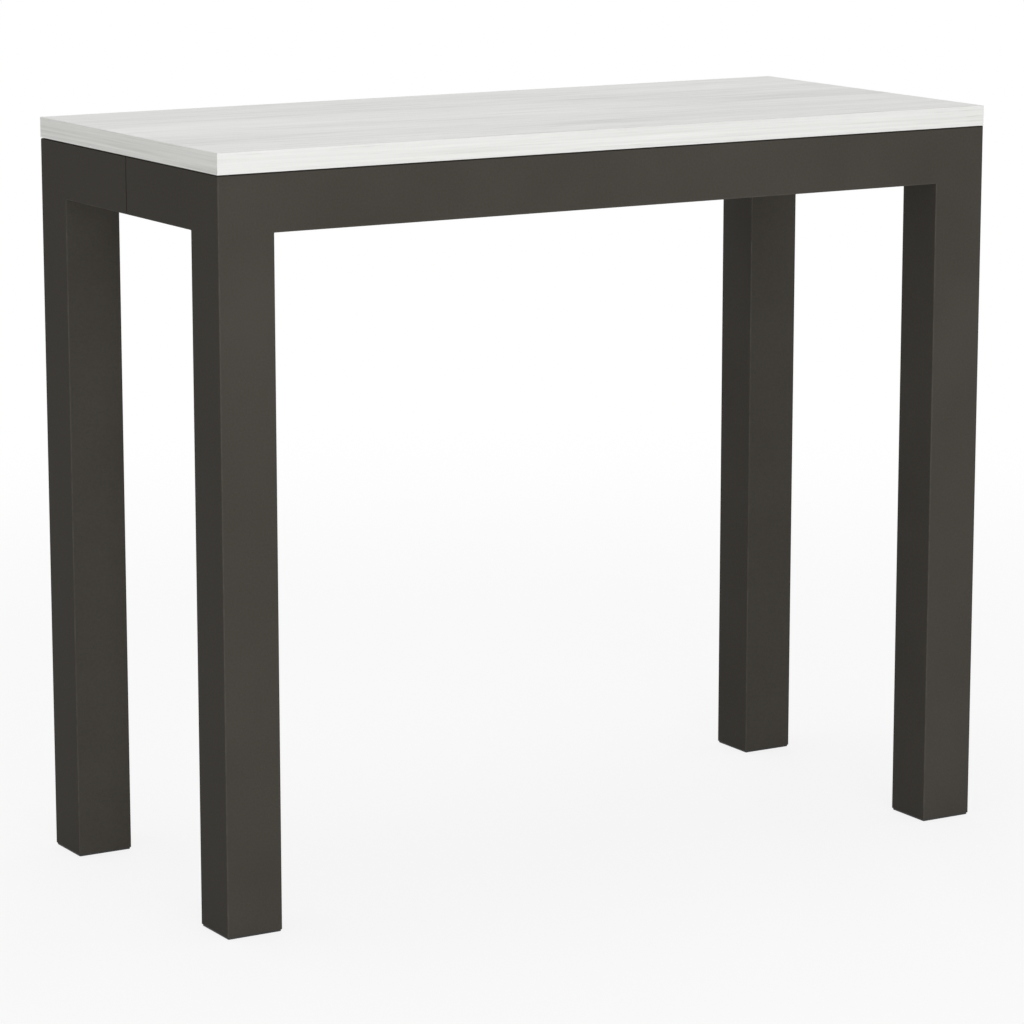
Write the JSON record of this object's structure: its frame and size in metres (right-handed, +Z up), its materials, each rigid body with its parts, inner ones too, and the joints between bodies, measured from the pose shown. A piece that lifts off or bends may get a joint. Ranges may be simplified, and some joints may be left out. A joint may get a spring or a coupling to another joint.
{
  "type": "extending console table",
  "caption": "Narrow console table with a white wood-grain top on a square-legged anthracite frame; the rear half pulls out on telescopic rails to take loose leaves.",
  "frame": {"origin": "on the floor under the middle of the closed table", "axes": "+X along the long side, +Y the way the rear half pulls out, +Z up"},
  "size_m": [0.9, 0.4, 0.77],
  "materials": {
    "white_ash": "white ash laminate, satin",
    "white_ash_edge": "wood-grain edging, satin",
    "anthracite_board": "matt anthracite laminate",
    "aluminium": "anodised, satin",
    "black_nylon": "moulded, matt",
    "zinc_steel": "zinc plated",
    "black_steel": "matt powder coat",
    "beech": "bare wood"
  },
  "bodies": {
    "front_half": {"front_apron": "anthracite_board", "front_leg_glides": "black_nylon", "front_corner_braces": "zinc_steel", "front_leg_bolts": "zinc_steel", "front_leg_nuts": "zinc_steel", "front_cross_bar": "black_steel", "front_rail_brackets": "zinc_steel", "front_wood_screws": "zinc_steel", "front_rail_screws": "black_steel", "front_dowels": "beech", "front_left_leg": "anthracite_board", "front_right_leg": "anthracite_board", "left_front_side": "anthracite_board", "right_front_side": "anthracite_board", "alignment_pins": "black_nylon", "top_board": "white_ash", "top_edge_bands": "white_ash_edge", "top_fixing_angles": "zinc_steel", "left_rail_1": "aluminium", "left_rail_1_guides": "black_nylon", "right_rail_1": "aluminium", "right_rail_1_guides": "black_nylon"},
    "rear_half": {"rear_apron": "anthracite_board", "rear_leg_glides": "black_nylon", "rear_corner_braces": "zinc_steel", "rear_leg_bolts": "zinc_steel", "rear_leg_nuts": "zinc_steel", "rear_cross_bar": "black_steel", "rear_rail_brackets": "zinc_steel", "rear_wood_screws": "zinc_steel", "rear_rail_screws": "black_steel", "rear_dowels": "beech", "rear_left_leg": "anthracite_board", "rear_right_leg": "anthracite_board", "left_rear_side": "anthracite_board", "right_rear_side": "anthracite_board", "left_rail_7": "aluminium", "left_rail_7_guides": "black_nylon", "right_rail_7": "aluminium", "right_rail_7_guides": "black_nylon"},
    "left_stage_2": {"left_rail_2": "aluminium", "left_rail_2_guides": "black_nylon"},
    "left_stage_3": {"left_rail_3": "aluminium", "left_rail_3_guides": "black_nylon"},
    "left_stage_4": {"left_rail_4": "aluminium", "left_rail_4_guides": "black_nylon"},
    "left_stage_5": {"left_rail_5": "aluminium", "left_rail_5_guides": "black_nylon"},
    "left_stage_6": {"left_rail_6": "aluminium", "left_rail_6_guides": "black_nylon"},
    "right_stage_2": {"right_rail_2": "aluminium", "right_rail_2_guides": "black_nylon"},
    "right_stage_3": {"right_rail_3": "aluminium", "right_rail_3_guides": "black_nylon"},
    "right_stage_4": {"right_rail_4": "aluminium", "right_rail_4_guides": "black_nylon"},
    "right_stage_5": {"right_rail_5": "aluminium", "right_rail_5_guides": "black_nylon"},
    "right_stage_6": {"right_rail_6": "aluminium", "right_rail_6_guides": "black_nylon"}
  },
  "joints": [
    {"name": "table_extension", "type": "slide", "parent": "front_half", "child": "rear_half", "axis": [0, 1, 0], "range_m": [0, 1.56]},
    {"name": "left_slide_2", "type": "slide", "parent": "front_half", "child": "left_stage_2", "axis": [0, 1, 0], "range_m": [0, 0.26]},
    {"name": "left_slide_3", "type": "slide", "parent": "left_stage_2", "child": "left_stage_3", "axis": [0, 1, 0], "range_m": [0, 0.26]},
    {"name": "left_slide_4", "type": "slide", "parent": "left_stage_3", "child": "left_stage_4", "axis": [0, 1, 0], "range_m": [0, 0.26]},
    {"name": "left_slide_5", "type": "slide", "parent": "left_stage_4", "child": "left_stage_5", "axis": [0, 1, 0], "range_m": [0, 0.26]},
    {"name": "left_slide_6", "type": "slide", "parent": "left_stage_5", "child": "left_stage_6", "axis": [0, 1, 0], "range_m": [0, 0.26]},
    {"name": "right_slide_2", "type": "slide", "parent": "front_half", "child": "right_stage_2", "axis": [0, 1, 0], "range_m": [0, 0.26]},
    {"name": "right_slide_3", "type": "slide", "parent": "right_stage_2", "child": "right_stage_3", "axis": [0, 1, 0], "range_m": [0, 0.26]},
    {"name": "right_slide_4", "type": "slide", "parent": "right_stage_3", "child": "right_stage_4", "axis": [0, 1, 0], "range_m": [0, 0.26]},
    {"name": "right_slide_5", "type": "slide", "parent": "right_stage_4", "child": "right_stage_5", "axis": [0, 1, 0], "range_m": [0, 0.26]},
    {"name": "right_slide_6", "type": "slide", "parent": "right_stage_5", "child": "right_stage_6", "axis": [0, 1, 0], "range_m": [0, 0.26]}
  ],
  "couplings": [
    {"joint": "left_slide_2", "follows": "table_extension", "ratio": 0.16667},
    {"joint": "left_slide_3", "follows": "table_extension", "ratio": 0.16667},
    {"joint": "left_slide_4", "follows": "table_extension", "ratio": 0.16667},
    {"joint": "left_slide_5", "follows": "table_extension", "ratio": 0.16667},
    {"joint": "left_slide_6", "follows": "table_extension", "ratio": 0.16667},
    {"joint": "right_slide_2", "follows": "table_extension", "ratio": 0.16667},
    {"joint": "right_slide_3", "follows": "table_extension", "ratio": 0.16667},
    {"joint": "right_slide_4", "follows": "table_extension", "ratio": 0.16667},
    {"joint": "right_slide_5", "follows": "table_extension", "ratio": 0.16667},
    {"joint": "right_slide_6", "follows": "table_extension", "ratio": 0.16667}
  ]
}
